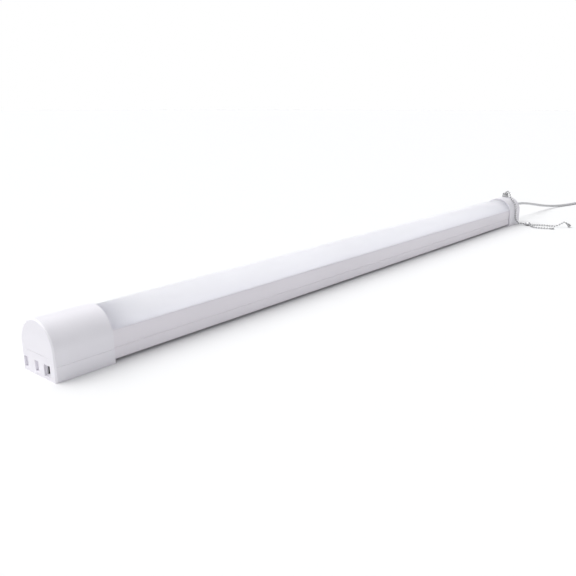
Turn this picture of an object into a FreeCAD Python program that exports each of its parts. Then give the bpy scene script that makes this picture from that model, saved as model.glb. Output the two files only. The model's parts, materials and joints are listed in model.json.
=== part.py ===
"""A linkable 4 ft LED shop light, lying on its back with the lens up.

X runs along the light from the outlet end to the cord end, Y across it and Z up from the floor.
The origin is under the middle of the light, at floor level.  Every length is in millimetres.
"""

import FreeCAD
import Part
import Sketcher
import math
import os

from FreeCAD import Placement, Rotation, Vector

# ---------------------------------------------------------------- driving sizes
SIZES = {
    # overall section
    "overall_length": 1219.0,        # cap face to cap face, 48 in
    "cap_width": 63.5,               # 2.5 in
    "cap_height": 62.0,
    "cap_wall": 2.2,
    "cap_floor": 2.5,                # bottom wall of the lower cap shells
    "cap_seam_height": 17.0,         # parting line of the caps, in line with the channel's groove
    "cap_edge_bevel": 1.6,
    "cap_corner_round": 0.5,
    "seam_bevel": 0.5,
    "outlet_cap_length": 70.7,
    "cord_cap_length": 58.2,
    "cap_overlap": 15.0,             # how far the channel and lens run into a cap
    # channel, lens and tray
    "body_inset": 2.75,              # cap side to channel side
    "body_rise": 3.0,                # channel's back above the floor
    "channel_wall": 1.4,
    "channel_corner": 2.5,
    "groove_width": 1.6,
    "groove_depth": 0.7,
    "lens_seat_height": 37.0,
    "lens_wall": 1.6,
    "lens_foot_gap": 0.3,
    "tray_height": 31.0,
    "tray_thickness": 1.0,
    "tray_rib_inset": 3.0,           # board's edge to the tray's rib
    "ledge_width": 3.0,
    "hang_inset": 101.5,             # light's end to a hanging slot, so 40 in between the slots
    "hang_slot_width": 5.0,
    "hang_slot_length": 16.0,
    # light boards
    "board_width": 20.0,
    "board_thickness": 1.6,
    "board_gap": 1.0,                # between the two boards, and each side of the row
    "led_size": 3.0,
    "led_height": 0.8,
    "led_pitch": 34.0,
    "board_screw_head": 6.0,
    "board_screw_rise": 1.4,
    "board_screw_inset": 4.0,
    # driver
    "driver_length": 210.0,
    "driver_width": 32.0,
    "driver_height": 24.0,
    "driver_wall": 1.0,
    "driver_side_shift": 7.0,
    "driver_centre": 60.0,
    # outlet end
    "panel_thickness": 4.0,
    "panel_height": 24.6,
    "panel_width": 41.0,
    "panel_gap": 0.25,
    "blank_start": 0.6,              # centre plane to the first blank's near side
    "blank_pitch": 21.4,
    "blank_width": 7.0,
    "blank_depth": 3.2,
    "blank_bottom": 4.0,
    "blank_height": 12.0,
    "port_width": 11.5,
    "port_bottom": 3.4,
    "port_height": 12.8,
    "port_left": 10.2,               # from the centre plane to the port's near side
    "port_rim": 1.4,                 # ledge round the port, where a plug's collar stops
    "port_rim_depth": 2.5,
    "socket_wall": 1.5,
    "socket_length": 24.0,
    "socket_pocket": 9.0,            # depth of the socket's mouth behind the panel
    "contact_width": 1.2,
    "contact_height": 6.0,
    "contact_pitch": 3.6,
    # screws that hold the cap shells together
    "post_radius": 3.0,
    "post_bore": 1.6,
    "post_side_gap": 4.35,           # cap's inner side to a post's centre
    "outlet_post_inset": 42.0,
    "cord_post_inset": 36.0,
    "screw_radius": 1.5,
    "screw_head_radius": 2.8,
    "screw_head_height": 1.5,
    "screw_head_gap": 0.3,
    "screw_recess_depth": 1.8,
    "screw_length": 24.0,
    "post_crown_rise": 13.75,        # how far the upper posts reach up into the half round
    "saddle_length": 10.0,           # pad on a cap's floor that the channel rests on
    "saddle_width": 44.0,
    "saddle_inset": 1.0,             # cap's open end to its saddle
    # pull switch
    "switch_inset": 17.0,            # cap's end face to the chain's line
    "switch_length": 18.0,
    "switch_near_side": 6.6,
    "switch_far_side": 12.4,
    "switch_drop": 21.0,             # crown down to the switch housing's underside
    "switch_height": 15.0,
    "switch_wall": 1.6,
    "wheel_pitch_radius": 4.5,
    "wheel_flange_radius": 5.3,
    "wheel_drop": 13.4,              # crown down to the wheel's axle
    "wheel_groove_width": 2.6,
    "wheel_flange_width": 1.2,
    "ratchet_teeth": 8.0,
    "ratchet_depth": 0.9,
    "axle_radius": 1.2,
    "axle_gap": 0.06,
    "stub_radius": 0.8,
    "stub_gap": 0.2,                 # inner chain to the wheel's core
    "nipple_radius": 4.7,
    "nipple_gap": 0.2,
    "nipple_bore": 2.6,
    "nipple_rise": 9.0,              # crown up to the nipple's lip
    "nipple_lip_radius": 6.4,
    "nipple_lip_height": 3.6,
    "nut_radius": 7.0,
    "nut_height": 5.0,
    "nut_flats": 18.0,
    "nut_gap": 0.1,
    # cord and its grip
    "cord_exit_height": 37.0,
    "cord_diameter": 6.0,
    "grip_length": 30.0,
    "grip_root_radius": 6.2,
    "grip_tip_radius": 4.0,
    "grip_flange_radius": 7.6,
    "grip_flange": 2.0,
    "grip_rings": 5.0,
    "grip_gap": 0.1,
    "inner_bend": 12.0,              # radius of the cord's turn down to the terminals
    "terminal_length": 16.0,
    "terminal_width": 26.0,
    "terminal_height": 12.0,
    "terminal_inset": 4.0,           # channel's end to the terminals
    "terminal_side_gap": 1.2,        # cap's post to the terminals
    "wire_diameter": 2.2,
    "wire_pitch": 3.6,
    "wire_height": 5.6,
    # chain
    "chain_diameter": 4.0,
    "chain_start_drop": 5.0,         # nipple's lip down to the bead chain's first bead
    "sleeve_wall": 0.8,
    "sleeve_gap": 0.3,
    "connector_length": 12.0,
    "connector_radius": 4.2,
    "bell_length": 10.5,
    "bell_radius": 3.4,
    "tail_connector_length": 7.5,
    "tail_connector_radius": 2.1,
    # coil and plug
    "coil_radius": 42.8,             # outer turn's centreline
    "coil_pitch": 6.7,               # turn to turn and layer to layer
    "coil_turns": 4.5,
    "floor_gap": 0.2,                # coil to the floor
    "plug_length": 30.0,
    "plug_width": 25.0,
    "plug_thickness": 22.0,
    "plug_floor_gap": 0.1,
    "plug_corner_round": 3.0,
    "plug_neck_wall": 1.0,
    "blade_length": 17.0,
    "blade_width": 6.35,
    "blade_thickness": 1.5,
    "blade_spacing": 12.7,
    "ground_pin_radius": 2.4,
    "ground_pin_offset": 11.9,
    "ground_pin_length": 20.0,
}

doc = FreeCAD.newDocument("shop_light")
sheet = doc.addObject("Spreadsheet::Sheet", "Sizes")
for row, (alias, number) in enumerate(SIZES.items(), start=1):
    sheet.set(f"A{row}", alias)
    sheet.set(f"B{row}", str(number))
    sheet.setAlias(f"B{row}", alias)
doc.recompute()


# ---------------------------------------------------------------- sizes as formulas
class Dim:
    """A size: its number now, and the formula that an expression is set to."""

    def __init__(self, number, text):
        self.number = number
        self.text = text

    def __add__(self, other):
        other = dim(other)
        return Dim(self.number + other.number, f"({self.text} + {other.text})")

    def __sub__(self, other):
        other = dim(other)
        return Dim(self.number - other.number, f"({self.text} - {other.text})")

    def __mul__(self, other):
        other = dim(other)
        return Dim(self.number * other.number, f"({self.text} * {other.text})")

    def __truediv__(self, other):
        other = dim(other)
        return Dim(self.number / other.number, f"({self.text} / {other.text})")

    def __radd__(self, other):
        return dim(other) + self

    def __rsub__(self, other):
        return dim(other) - self

    def __rmul__(self, other):
        return dim(other) * self

    def __neg__(self):
        return Dim(-self.number, f"(-1 * {self.text})")


def dim(value):
    """A plain number becomes a Dim too."""
    if isinstance(value, Dim):
        return value
    return Dim(float(value), f"({float(value):g})")


def root(value):
    return Dim(math.sqrt(value.number), f"sqrt({value.text})")


def size(alias):
    return Dim(float(sheet.get(alias)), f"Sizes.{alias}")


def bind(obj, **values):
    """Ties properties to formulas; two underscores stand for a dot."""
    for name, value in values.items():
        obj.setExpression(name.replace("__", "."), dim(value).text)


def place(obj, x=0, y=0, z=0, rotation=Rotation()):
    obj.Placement = Placement(Vector(0, 0, 0), rotation)
    bind(obj, Placement__Base__x=x, Placement__Base__y=y, Placement__Base__z=z)


# ---------------------------------------------------------------- building blocks
PARTS = {}
ROUND_SIDES = 12                 # of a small round piece
POST_SIDES = 8
WIRE_SIDES = 6
PAST = 1.0                       # how far a cutting tool runs past what it cuts
ALONG_X = Rotation(Vector(0, 1, 0), 90)
ALONG_MINUS_Y = Rotation(Vector(1, 0, 0), 90)


def part(name, obj):
    """Registers a finished sub-part under the name of its file."""
    obj.Label = name
    PARTS[name] = obj
    return obj


def box(name, x, y, z, length, width, height):
    """A block from its lowest corner."""
    obj = doc.addObject("Part::Box", name)
    bind(obj, Length=length, Width=width, Height=height)
    place(obj, x, y, z)
    return obj


def cylinder(name, x, y, z, radius, height, rotation=Rotation()):
    obj = doc.addObject("Part::Cylinder", name)
    bind(obj, Radius=radius, Height=height)
    place(obj, x, y, z, rotation)
    return obj


def rod(name, x, y, z, radius, height, rotation=Rotation(), sides=0):
    """A small round as a many-sided bar, which keeps the model light."""
    obj = doc.addObject("Part::Prism", name)
    obj.Polygon = sides or ROUND_SIDES
    bind(obj, Circumradius=radius, Height=height)
    place(obj, x, y, z, rotation)
    return obj


def cut(name, base, *tools):
    obj = doc.addObject("Part::Cut", name)
    obj.Base = base
    obj.Tool = tools[0] if len(tools) == 1 else fuse(name + "_tools", *tools)
    return obj


def fuse(name, *shapes):
    obj = doc.addObject("Part::MultiFuse", name)
    obj.Shapes = list(shapes)
    return obj


def group(name, *shapes):
    """Separate solids that share one node."""
    obj = doc.addObject("Part::Compound", name)
    obj.Links = list(shapes)
    return obj


def new_body(name):
    return doc.addObject("PartDesign::Body", name)


def sketch(body, name, plane, outline, offset=0):
    """A closed outline on one of the body's own origin planes.

    Each corner is (across, up), or (across, up, radius, side) where an arc of that radius
    runs on to the next corner, with its centre on the left (1) or the right (-1).
    """
    sk = body.newObject("Sketcher::SketchObject", name)
    support = [f for f in body.Origin.OriginFeatures if f.Role == plane][0]
    sk.AttachmentSupport = [(support, "")]
    sk.MapMode = "FlatFace"
    bind(sk, AttachmentOffset__Base__z=offset)
    corners = [(dim(c[0]), dim(c[1])) for c in outline]
    starts, ends = [], []
    for i, corner in enumerate(outline):
        u0, v0 = (d.number for d in corners[i])
        u1, v1 = (d.number for d in corners[(i + 1) % len(corners)])
        first, last = Vector(u0, v0, 0), Vector(u1, v1, 0)
        if len(corner) == 2:
            geo = sk.addGeometry(Part.LineSegment(first, last))
            starts.append((geo, 1))
            ends.append((geo, 2))
            continue
        radius, side = dim(corner[2]), corner[3]
        half = (last - first) * 0.5
        rise = math.sqrt(max(radius.number**2 - half.Length**2, 0))
        left = Vector(-half.y, half.x, 0).normalize()
        centre = first + half + left * (rise * side)
        angles = [math.atan2(p.y - centre.y, p.x - centre.x) for p in (first, last)]
        circle = Part.Circle(centre, Vector(0, 0, 1), radius.number)
        if side == 1:
            geo = sk.addGeometry(Part.ArcOfCircle(circle, angles[0], angles[1]))
            starts.append((geo, 1))
            ends.append((geo, 2))
        else:
            geo = sk.addGeometry(Part.ArcOfCircle(circle, angles[1], angles[0]))
            starts.append((geo, 2))
            ends.append((geo, 1))
        constrain(sk, "Radius", (geo,), radius)
    for i, (geo, point) in enumerate(starts):
        before = ends[i - 1]
        sk.addConstraint(Sketcher.Constraint("Coincident", *before, geo, point))
        constrain(sk, "DistanceX", (-1, 1, geo, point), corners[i][0])
        constrain(sk, "DistanceY", (-1, 1, geo, point), corners[i][1])
    return sk


def constrain(sk, kind, where, value):
    """One dimension of a sketch, bound to its formula."""
    index = sk.addConstraint(Sketcher.Constraint(kind, *where, value.number))
    sk.setExpression(f"Constraints[{index}]", value.text)


def pad(body, sk, length):
    feature = body.newObject("PartDesign::Pad", sk.Name + "_pad")
    feature.Profile = sk
    bind(feature, Length=length)
    return feature


def pocket(body, sk, depth, forwards=True):
    """Cuts along the sketch's normal, or against it."""
    feature = body.newObject("PartDesign::Pocket", sk.Name + "_pocket")
    feature.Profile = sk
    feature.Reversed = forwards
    bind(feature, Length=depth)
    return feature


def soften_edges(body, feature, wanted, radius=None, bevel=None):
    """Rounds or bevels the edges of a feature whose middle point passes the test."""
    doc.recompute()
    names = []
    for i, edge in enumerate(feature.Shape.Edges, start=1):
        middle = edge.valueAt((edge.FirstParameter + edge.LastParameter) / 2)
        if wanted(middle, edge):
            names.append(f"Edge{i}")
    if radius is not None:
        softened = body.newObject("PartDesign::Fillet", feature.Name + "_round")
        bind(softened, Radius=radius)
    else:
        softened = body.newObject("PartDesign::Chamfer", feature.Name + "_bevel")
        bind(softened, Size=bevel)
    softened.Base = (feature, names)
    return softened


def stack(name, steps, x=0, y=0, z=0, rotation=Rotation()):
    """Rods end to end along one axis, as (radius, length): a turned piece with its tapers in steps."""
    axis = rotation.multVec(Vector(0, 0, 1))
    rods, reach = [], dim(0)
    for i, (radius, length) in enumerate(steps):
        rods.append(rod(f"{name}_{i}", x + reach * axis.x, y + reach * axis.y, z + reach * axis.z,
                        radius, length, rotation))
        reach = reach + length
    return fuse(name, *rods)


def rectangle(left, bottom, width, height):
    return [(left, bottom), (left + width, bottom), (left + width, bottom + height), (left, bottom + height)]


def arch(half_width, bottom, centre_height):
    """The D outline: straight sides, then a half round of that half width."""
    top = centre_height + half_width
    return [
        (half_width, bottom),
        (half_width, centre_height, half_width, 1),
        (dim(0), top, half_width, 1),
        (-half_width, centre_height),
        (-half_width, bottom),
    ]


# ---------------------------------------------------------------- places worked out once
HALF_LENGTH = size("overall_length") / 2
CAP_HALF = size("cap_width") / 2
ARC_HEIGHT = size("cap_height") - CAP_HALF        # where the half round starts
INNER_HALF = CAP_HALF - size("cap_wall")
BODY_HALF = CAP_HALF - size("body_inset")
SEAM = size("cap_seam_height")
CHANNEL_START = -HALF_LENGTH + size("outlet_cap_length") - size("cap_overlap")
CHANNEL_END = HALF_LENGTH - size("cord_cap_length") + size("cap_overlap")
CHANNEL_LENGTH = CHANNEL_END - CHANNEL_START
SEAT = size("lens_seat_height")
SEAT_HALF = root(BODY_HALF * BODY_HALF - (SEAT - ARC_HEIGHT) * (SEAT - ARC_HEIGHT))
LIP_HALF = SEAT_HALF - size("channel_wall")       # inner face of the channel's lip
TRAY_TOP = size("tray_height") + size("tray_thickness")
FLOOR_TOP = size("body_rise") + size("channel_wall")
CHAIN_X = HALF_LENGTH - size("switch_inset")
PORT_Y = -size("port_left") - size("port_width") / 2
SOCKET_BACK = -HALF_LENGTH + size("panel_thickness") + size("socket_length")
EXIT_HEIGHT = size("cord_exit_height")
POST_SIDE = INNER_HALF - size("post_side_gap")
POST_ROOT = size("cap_floor") / 2                 # lower posts and saddles are rooted in the floor
WHEEL_HEIGHT = size("cap_height") - size("wheel_drop")
NIPPLE_TOP = size("cap_height") + size("nipple_rise")


# ---------------------------------------------------------------- channel, lens and tray
def make_channel():
    """The folded steel trough, with a groove along each side and a ledge for the tray."""
    wall, corner = size("channel_wall"), size("channel_corner")
    rise, tray = size("body_rise"), size("tray_height")
    half_groove = size("groove_width") / 2
    inner = BODY_HALF - wall
    right = [
        (BODY_HALF - corner, rise, corner, 1),
        (BODY_HALF, rise + corner),
        (BODY_HALF, SEAM - half_groove),
        (BODY_HALF - size("groove_depth"), SEAM),
        (BODY_HALF, SEAM + half_groove),
        (BODY_HALF, ARC_HEIGHT, BODY_HALF, 1),
        (SEAT_HALF, SEAT),
        (LIP_HALF, SEAT),
        (LIP_HALF, tray),
        (LIP_HALF - size("ledge_width"), tray),
        (LIP_HALF - size("ledge_width"), tray - wall),
        (inner, tray - wall),
        (inner, rise + corner),
        (BODY_HALF - corner, FLOOR_TOP),
    ]
    body = new_body("channel_body")
    section = sketch(body, "channel_section", "YZ_Plane", right + mirrored(right))
    pad(body, section, CHANNEL_LENGTH)
    slot_radius = size("hang_slot_width") / 2
    straight = size("hang_slot_length") / 2 - slot_radius
    for side in (-1, 1):
        middle = (HALF_LENGTH - size("hang_inset")) * side - CHANNEL_START
        slot = sketch(body, f"hanging_slot_{side + 2}", "XY_Plane", [
            (middle - straight, -slot_radius),
            (middle + straight, -slot_radius, slot_radius, 1),
            (middle + straight + slot_radius, dim(0), slot_radius, 1),
            (middle + straight, slot_radius),
            (middle - straight, slot_radius, slot_radius, 1),
            (middle - straight - slot_radius, dim(0), slot_radius, 1),
        ])
        pocket(body, slot, FLOOR_TOP + wall)
    place(body, CHANNEL_START)
    return part("housing_channel", body)


def mirrored(corners):
    """The same outline run back on the other side of the centre plane."""
    turned = []
    for i, corner in enumerate(reversed(corners)):
        across, up = -dim(corner[0]), corner[1]
        behind = corners[len(corners) - 2 - i] if i < len(corners) - 1 else None
        if behind is not None and len(behind) == 4:
            turned.append((across, up, behind[2], behind[3]))
        else:
            turned.append((across, up))
    return turned


def make_lens():
    """The half-round diffuser, whose feet snap in behind the channel's lips."""
    wall = size("lens_wall")
    inner = BODY_HALF - wall
    web = SEAT + wall
    web_half = root(inner * inner - (web - ARC_HEIGHT) * (web - ARC_HEIGHT))
    foot_outer = LIP_HALF - size("lens_foot_gap")
    foot_inner = foot_outer - wall
    foot_bottom = TRAY_TOP + size("lens_foot_gap")
    outline = [
        (foot_outer, foot_bottom),
        (foot_outer, SEAT),
        (SEAT_HALF, SEAT, BODY_HALF, 1),
        (dim(0), ARC_HEIGHT + BODY_HALF, BODY_HALF, 1),
        (-SEAT_HALF, SEAT),
        (-foot_outer, SEAT),
        (-foot_outer, foot_bottom),
        (-foot_inner, foot_bottom),
        (-foot_inner, web),
        (-web_half, web, inner, -1),
        (dim(0), ARC_HEIGHT + inner, inner, -1),
        (web_half, web),
        (foot_inner, web),
        (foot_inner, foot_bottom),
    ]
    body = new_body("lens_body")
    pad(body, sketch(body, "lens_section", "YZ_Plane", outline), CHANNEL_LENGTH)
    place(body, CHANNEL_START)
    return part("diffuser_lens", body)


def make_tray():
    """The white sheet that carries the boards, with a shallow stiffening rib each side."""
    half = LIP_HALF - size("lens_foot_gap")
    rib, thick = size("board_width") / 2 + size("tray_rib_inset"), size("tray_thickness")
    low, top = size("tray_height"), TRAY_TOP
    right = [
        (rib, low - thick * 2),
        (rib + thick, low - thick * 2),
        (rib + thick, low),
        (half, low),
        (half, top),
    ]
    body = new_body("tray_body")
    pad(body, sketch(body, "tray_section", "YZ_Plane", right + mirrored(right)), CHANNEL_LENGTH)
    place(body, CHANNEL_START)
    return part("reflector_tray", body)


# ---------------------------------------------------------------- light boards
def make_boards():
    """Two strips end to end, their diodes and the screws that hold them down."""
    gap = size("board_gap")
    width, thick = size("board_width"), size("board_thickness")
    length = (CHANNEL_LENGTH - gap * 3) / 2
    diode, pitch = size("led_size"), size("led_pitch")
    chips, screws = [], []
    for n in (1, 2):
        start = CHANNEL_START + gap + (length + gap) * (n - 1)
        strip = box(f"strip_{n}", start, -width / 2, TRAY_TOP, length, width, thick)
        part(f"led_board_{n}", strip)
        count = int((length.number - pitch.number) / pitch.number)
        first = start + (length - pitch * (count - 1)) / 2
        for i in range(count):
            chips.append(box(
                f"diode_{n}_{i}", first + pitch * i - diode / 2, -diode / 2, TRAY_TOP + thick,
                diode, diode, size("led_height")))
        for k in (1, 3):
            screws.append(rod(
                f"board_screw_{n}_{k}", start + length * k / 4 + pitch / 4,
                width / 2 - size("board_screw_inset"), TRAY_TOP + thick,
                size("board_screw_head") / 2, size("board_screw_rise")))
    part("led_chips", group("diodes", *chips))
    part("board_screws", group("board_screw_set", *screws))


# ---------------------------------------------------------------- driver
def make_driver():
    """The driver's folded case and lid, with its board, transformer and capacitors."""
    length, width = size("driver_length"), size("driver_width")
    height, wall = size("driver_height"), size("driver_wall")
    x = size("driver_centre") - length / 2
    y = size("driver_side_shift") - width / 2
    shell = box("driver_shell", x, y, FLOOR_TOP, length, width, height - wall)
    hollow = box("driver_hollow", x + wall, y + wall, FLOOR_TOP + wall,
                 length - wall * 2, width - wall * 2, height)
    part("driver_case", cut("driver_tub", shell, hollow))
    part("driver_lid", box("driver_cover", x, y, FLOOR_TOP + height - wall, length, width, wall))
    board_z = FLOOR_TOP + wall * 3
    inset = wall * 3
    board = box("driver_card", x + inset, y + wall, board_z, length - inset * 2,
                width - wall * 2, wall * 1.6)
    posts = [
        box(f"driver_stand_{i}", x + inset + (length - inset * 2 - wall * 4) * i,
            y + width / 2 - wall * 2, FLOOR_TOP + wall, wall * 4, wall * 4, wall * 2)
        for i in (0, 1)
    ]
    part("driver_board", fuse("driver_card_on_stands", board, *posts))
    top = board_z + wall * 1.6
    room = FLOOR_TOP + height - wall * 2 - top
    core = box("transformer_core", x + length * 0.45, y + width / 4, top,
               width / 2 + wall, width / 2, room)
    can = rod("capacitor_can", x + length * 0.2, y + width / 2, top, width / 6, room)
    choke = rod("choke_ring", x + length * 0.75, y + width / 2, top, width / 5, room / 2)
    part("driver_components", group("driver_component_set", core, can, choke))


# ---------------------------------------------------------------- caps
def cap_cover(name, length, post_x):
    """The upper shell of a cap: a D tunnel closed by an end face at its local x = 0."""
    body = new_body(name + "_body")
    bevel = size("seam_bevel")
    outer = arch(CAP_HALF, SEAM + bevel, ARC_HEIGHT)
    outer = outer + [(-CAP_HALF + bevel, SEAM), (CAP_HALF - bevel, SEAM)]
    shell = pad(body, sketch(body, name + "_outside", "YZ_Plane", outer), length)
    seam, reach = SEAM.number, CAP_HALF.number
    soften_edges(
        body, shell,
        lambda p, edge: abs(p.x) < 0.01 and (p.z > seam + PAST or abs(p.y) > reach - 0.01),
        bevel=size("cap_edge_bevel"))
    wall = size("cap_wall")
    inside = sketch(body, name + "_inside", "YZ_Plane", arch(INNER_HALF, SEAM - PAST, ARC_HEIGHT), wall)
    pocket(body, inside, length)
    posts = []
    for side in (-1, 1):
        posts.append(rod(f"{name}_post_{side + 2}", post_x, POST_SIDE * side, SEAM,
                         size("post_radius"), ARC_HEIGHT + size("post_crown_rise") - SEAM,
                         sides=POST_SIDES))
    return body, posts


def cap_tub(name, length):
    """The lower shell of a cap: a tray closed by an end wall at its local x = 0."""
    body = new_body(name + "_body")
    bevel, corner = size("seam_bevel"), size("cap_corner_round")
    outline = [
        (-CAP_HALF + corner, dim(0)),
        (CAP_HALF - corner, dim(0), corner, 1),
        (CAP_HALF, corner),
        (CAP_HALF, SEAM - bevel),
        (CAP_HALF - bevel, SEAM),
        (-CAP_HALF + bevel, SEAM),
        (-CAP_HALF, SEAM - bevel),
        (-CAP_HALF, corner, corner, 1),
    ]
    pad(body, sketch(body, name + "_outside", "YZ_Plane", outline), length)
    edge = size("cap_edge_bevel")
    for side in (-1, 1):
        upright = sketch(body, f"{name}_corner_{side + 2}", "XY_Plane", [
            (dim(-PAST), (CAP_HALF - edge - PAST) * side),
            (edge + PAST, (CAP_HALF + PAST) * side),
            (dim(-PAST), (CAP_HALF + PAST) * side),
        ])
        pocket(body, upright, SEAM + PAST)
    return body


def cap_screws(name, post_x):
    """Two screws up through the lower shell's posts into the upper shell's."""
    screws = []
    for side in (-1, 1):
        y = POST_SIDE * side
        head_z = size("screw_recess_depth") - size("screw_head_height")
        head = rod(f"{name}_head_{side + 2}", post_x, y, head_z, size("screw_head_radius"),
                   size("screw_head_height"))
        shank = rod(f"{name}_shank_{side + 2}", post_x, y, head_z, size("screw_radius"),
                    size("screw_length"))
        screws.append(fuse(f"{name}_screw_{side + 2}", head, shank))
    return part(name, group(name + "_pair", *screws))


def screw_ways(name, post_x):
    """The bores and head recesses that the cap screws pass through."""
    ways = []
    for side in (-1, 1):
        y = POST_SIDE * side
        ways.append(rod(f"{name}_bore_{side + 2}", post_x, y, -PAST, size("post_bore"),
                        size("screw_length") + size("screw_recess_depth") + PAST))
        ways.append(rod(f"{name}_recess_{side + 2}", post_x, y, -PAST,
                        size("screw_head_radius") + size("screw_head_gap"),
                        size("screw_recess_depth") + PAST))
    return ways


def lower_posts(name, post_x):
    return [
        rod(f"{name}_foot_post_{side + 2}", post_x, POST_SIDE * side, POST_ROOT,
            size("post_radius"), SEAM - POST_ROOT, sides=POST_SIDES)
        for side in (-1, 1)
    ]


def saddle(name, x):
    """The pad on the lower shell's floor that carries the channel's end."""
    return box(name, x, -size("saddle_width") / 2, POST_ROOT, size("saddle_length"),
               size("saddle_width"), size("body_rise") - POST_ROOT)


def make_outlet_cap():
    """The long cap, whose lower shell carries the panel with two blanked ports and an open one."""
    length, wall = size("outlet_cap_length"), size("cap_wall")
    start = -HALF_LENGTH
    post_x = start + size("outlet_post_inset")
    body, posts = cap_cover("outlet_cover", length, post_x)
    half_panel = size("panel_width") / 2
    low, tall = SEAM - PAST, size("panel_height") - SEAM + PAST
    notch = sketch(body, "panel_notch", "YZ_Plane", rectangle(-half_panel, low, size("panel_width"), tall))
    pocket(body, notch, wall + PAST)
    place(body, start)
    cover = fuse("outlet_cover_with_posts", body, *posts)
    part("outlet_cap_cover", cut("outlet_cover_bored", cover, *screw_ways("outlet_cover", post_x)))

    tub = cap_tub("outlet_tub", length)
    floor, thick = size("cap_floor"), size("panel_thickness")
    hollow = sketch(tub, "outlet_tub_hollow", "YZ_Plane",
                    rectangle(-INNER_HALF, floor, INNER_HALF * 2, SEAM), thick)
    pocket(tub, hollow, length)
    gap = size("panel_gap")
    raised = sketch(tub, "raised_panel", "YZ_Plane", rectangle(
        -half_panel + gap, low, size("panel_width") - gap * 2, tall - gap))
    pad(tub, raised, wall)
    for n in (0, 1):
        side = size("blank_start") + size("blank_pitch") * n
        blank = sketch(tub, f"blank_port_{n + 1}", "YZ_Plane", rectangle(
            side, size("blank_bottom"), size("blank_width"), size("blank_height")))
        pocket(tub, blank, size("blank_depth"))
    rim = size("port_rim")
    for name, inset, depth in (("port_collar", dim(0), size("port_rim_depth")),
                               ("open_port", rim, thick + PAST)):
        port = sketch(tub, name, "YZ_Plane", rectangle(
            -size("port_left") - size("port_width") + inset, size("port_bottom") + inset,
            size("port_width") - inset * 2, size("port_height") - inset * 2))
        pocket(tub, port, depth)
    place(tub, start)
    rest = saddle("outlet_saddle", start + length - size("saddle_length") - size("saddle_inset"))
    base = fuse("outlet_tub_with_posts", tub, rest, *lower_posts("outlet_tub", post_x))
    part("outlet_cap_base", cut("outlet_tub_bored", base, *screw_ways("outlet_tub", post_x)))
    cap_screws("outlet_cap_screws", post_x)


def make_link_socket():
    """The dark block behind the open port, with three brass contacts in its floor."""
    wall, pocket_depth = size("socket_wall"), size("socket_pocket")
    front = -HALF_LENGTH + size("panel_thickness")
    width = size("port_width") + wall * 2
    low = size("cap_floor")
    height = size("port_bottom") + size("port_height") + wall - low
    block = box("socket_block", front, PORT_Y - width / 2, low, size("socket_length"), width, height)
    rim = size("port_rim")
    mouth = box("socket_mouth", front - PAST, -size("port_left") - size("port_width") + rim,
                size("port_bottom") + rim, pocket_depth + PAST,
                size("port_width") - rim * 2, size("port_height") - rim * 2)
    contacts, slots = [], []
    thick, tall, pitch = size("contact_width"), size("contact_height"), size("contact_pitch")
    middle = size("port_bottom") + size("port_height") / 2
    for i in (-1, 0, 1):
        shape = (front + pocket_depth, PORT_Y + pitch * i - thick / 2, middle - tall / 2,
                 wall * 3, thick, tall)
        contacts.append(box(f"contact_{i + 2}", *shape))
        slots.append(box(f"contact_slot_{i + 2}", *shape))
    part("link_socket", cut("socket_with_slots", block, mouth, *slots))
    part("link_contacts", group("contact_set", *contacts))


def make_cord_cap():
    """The short cap: the switch comes out of its crown and the cord out of its end face."""
    length, wall, floor = size("cord_cap_length"), size("cap_wall"), size("cap_floor")
    post_x = HALF_LENGTH - size("cord_post_inset")
    turned = Rotation(Vector(0, 0, 1), 180)
    body, posts = cap_cover("cord_cover", length, post_x)
    place(body, HALF_LENGTH, rotation=turned)
    cover = fuse("cord_cover_with_posts", body, *posts)
    crown = rod("crown_hole", CHAIN_X, 0, size("cap_height") - wall * 3,
                size("nipple_radius") + size("nipple_gap"), wall * 4)
    outlet = rod("grip_hole", HALF_LENGTH - wall * 2, 0, EXIT_HEIGHT,
                 size("grip_root_radius") + size("grip_gap"), wall * 4, ALONG_X)
    part("cord_cap_cover", cut("cord_cover_bored", cover, crown, outlet,
                               *screw_ways("cord_cover", post_x)))

    tub = cap_tub("cord_tub", length)
    hollow = sketch(tub, "cord_tub_hollow", "YZ_Plane",
                    rectangle(-INNER_HALF, floor, INNER_HALF * 2, SEAM), wall)
    pocket(tub, hollow, length)
    place(tub, HALF_LENGTH, rotation=turned)
    rest = saddle("cord_saddle", HALF_LENGTH - length + size("saddle_inset"))
    base = fuse("cord_tub_with_posts", tub, rest, *lower_posts("cord_tub", post_x))
    part("cord_cap_base", cut("cord_tub_bored", base, *screw_ways("cord_tub", post_x)))
    cap_screws("cord_cap_screws", post_x)


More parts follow.
